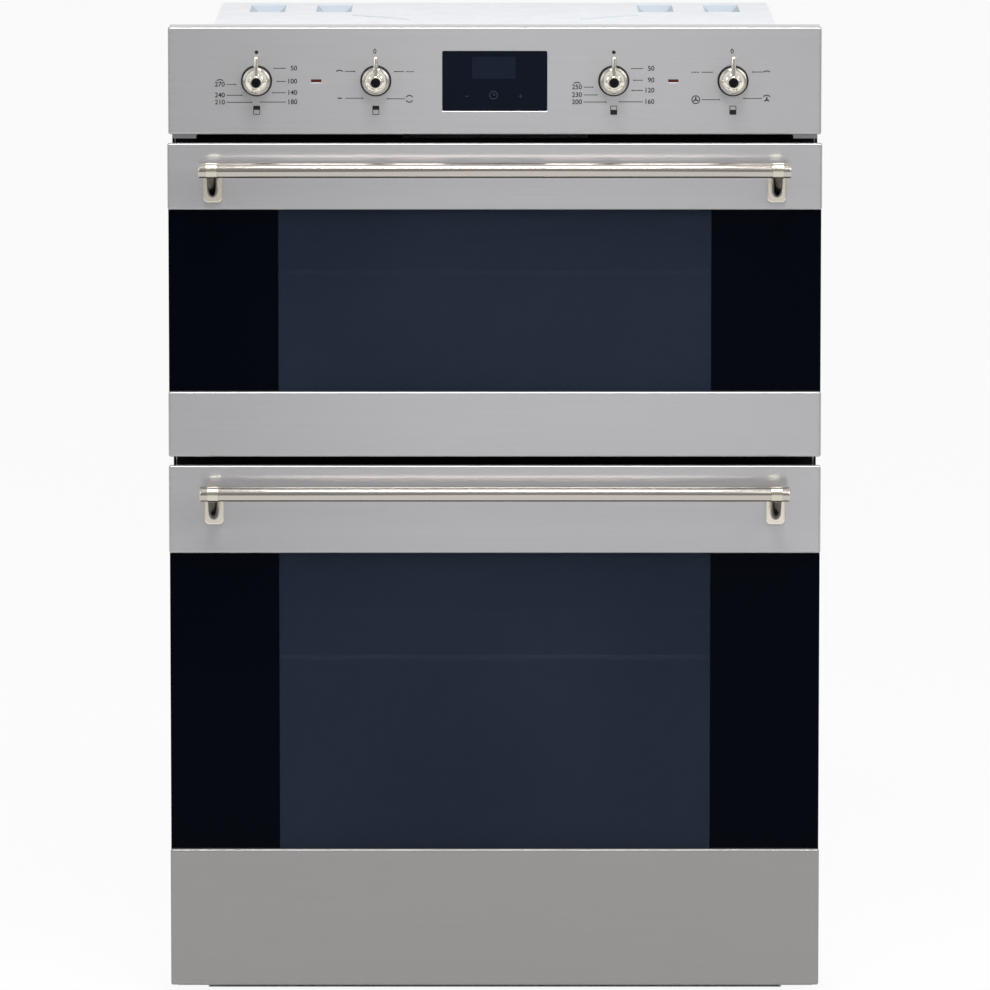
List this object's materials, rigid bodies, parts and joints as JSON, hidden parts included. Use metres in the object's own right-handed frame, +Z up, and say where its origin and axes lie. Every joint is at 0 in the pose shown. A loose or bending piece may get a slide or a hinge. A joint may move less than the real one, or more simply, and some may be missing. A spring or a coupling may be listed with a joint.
{
  "type": "built-in double wall oven",
  "caption": "Built-in double oven with two drop-down glass doors, bar handles, lever knobs and a clock, in a sheet-steel casing for a tall cabinet.",
  "frame": {"origin": "centre of the base tray's underside", "axes": "+Z up, +X to the right as seen from the room, +Y towards the back of the casing"},
  "size_m": [0.597, 0.6545, 0.893],
  "materials": {
    "galvanised": "plain galvanised sheet, pale and satin",
    "steel": "stainless sheet with a fine level brushing",
    "nickel": "satin nickel, warm and brushed along the bar",
    "black_frame": "black coated sheet, satin",
    "enamel": "dark glossy vitreous enamel",
    "door_glass": "tinted toughened glass with black printed borders",
    "inner_glass": "clear toughened glass",
    "display": "black display window, glossy",
    "knob_chrome": "warm polished nickel",
    "black_plastic": "black moulded plastic, satin",
    "red_lens": "red lamp lens",
    "seal": "black silicone seal",
    "wire": "bright plated wire",
    "element": "dark oxidised heating tube",
    "wool": "mineral wool blanket",
    "lamp_glass": "frosted lamp glass",
    "zinc": "zinc plated steel"
  },
  "bodies": {
    "chassis": {"base_tray": "galvanised", "side_panel_left": "galvanised", "side_panel_right": "galvanised", "rear_panel": "galvanised", "top_cover": "galvanised", "front_frame": "black_frame", "fascia_brackets": "zinc", "terminal_box": "black_plastic", "casing_screws": "zinc", "upper_cavity": "enamel", "lower_cavity": "enamel", "upper_grill_element": "element", "lower_grill_element": "element", "upper_shelf": "wire", "lower_shelf": "wire", "door_seals": "seal", "insulation": "wool", "base_elements": "element", "rack_guides": "wire", "oven_lamps": "lamp_glass", "fan_ring_element": "element", "fan_cover": "enamel", "fan_motor": "zinc", "hinge_arms": "zinc", "control_panel": "steel", "display_glass": "display", "display_module": "black_plastic", "indicator_lenses": "red_lens", "switch_carrier": "galvanised", "thermostats": "black_plastic", "selector_switches": "black_plastic", "knob_bezels": "black_plastic", "blower_housing": "galvanised", "blower_motor": "zinc"},
    "upper_door": {"upper_door_glass": "door_glass", "upper_top_trim": "steel", "upper_bottom_trim": "steel", "upper_door_liner": "black_frame", "upper_inner_glass": "inner_glass", "upper_handle_bar": "nickel", "upper_handle_brackets": "nickel", "upper_door_hinges": "zinc"},
    "lower_door": {"lower_door_glass": "door_glass", "lower_top_trim": "steel", "lower_bottom_trim": "steel", "lower_door_liner": "black_frame", "lower_inner_glass": "inner_glass", "lower_handle_bar": "nickel", "lower_handle_brackets": "nickel", "lower_door_hinges": "zinc"},
    "upper_thermostat_dial": {"upper_thermostat_knob": "knob_chrome", "upper_thermostat_spindle": "black_plastic"},
    "upper_selector_dial": {"upper_selector_knob": "knob_chrome", "upper_selector_spindle": "black_plastic"},
    "lower_thermostat_dial": {"lower_thermostat_knob": "knob_chrome", "lower_thermostat_spindle": "black_plastic"},
    "lower_selector_dial": {"lower_selector_knob": "knob_chrome", "lower_selector_spindle": "black_plastic"},
    "convection_fan": {"fan_impeller": "zinc"},
    "cooling_blower": {"blower_wheel": "zinc"}
  },
  "joints": [
    {"name": "upper_door_hinge", "type": "hinge", "parent": "chassis", "child": "upper_door", "pos_m": [0, -0.2905, 0.51379], "axis": [1, 0, 0], "range_deg": [0, 90], "stiffness_Nm_per_rad": 2, "springref_deg": -57.3},
    {"name": "lower_door_hinge", "type": "hinge", "parent": "chassis", "child": "lower_door", "pos_m": [0, -0.2905, 0.02279], "axis": [1, 0, 0], "range_deg": [0, 90], "stiffness_Nm_per_rad": 4, "springref_deg": -57.3},
    {"name": "upper_thermostat_turn", "type": "hinge", "parent": "chassis", "child": "upper_thermostat_dial", "pos_m": [-0.2168, -0.3065, 0.844], "axis": [0, 1, 0], "range_deg": [0, 270]},
    {"name": "upper_selector_turn", "type": "hinge", "parent": "chassis", "child": "upper_selector_dial", "pos_m": [-0.1083, -0.3065, 0.844], "axis": [0, 1, 0], "continuous": true},
    {"name": "lower_thermostat_turn", "type": "hinge", "parent": "chassis", "child": "lower_thermostat_dial", "pos_m": [0.1083, -0.3065, 0.844], "axis": [0, 1, 0], "range_deg": [0, 270]},
    {"name": "lower_selector_turn", "type": "hinge", "parent": "chassis", "child": "lower_selector_dial", "pos_m": [0.2168, -0.3065, 0.844], "axis": [0, 1, 0], "continuous": true},
    {"name": "convection_fan_spin", "type": "hinge", "parent": "chassis", "child": "convection_fan", "pos_m": [0, 0.1275, 0.2725], "axis": [0, 1, 0], "continuous": true},
    {"name": "cooling_blower_spin", "type": "hinge", "parent": "chassis", "child": "cooling_blower", "pos_m": [0, -0.1625, 0.822], "axis": [1, 0, 0], "continuous": true}
  ]
}
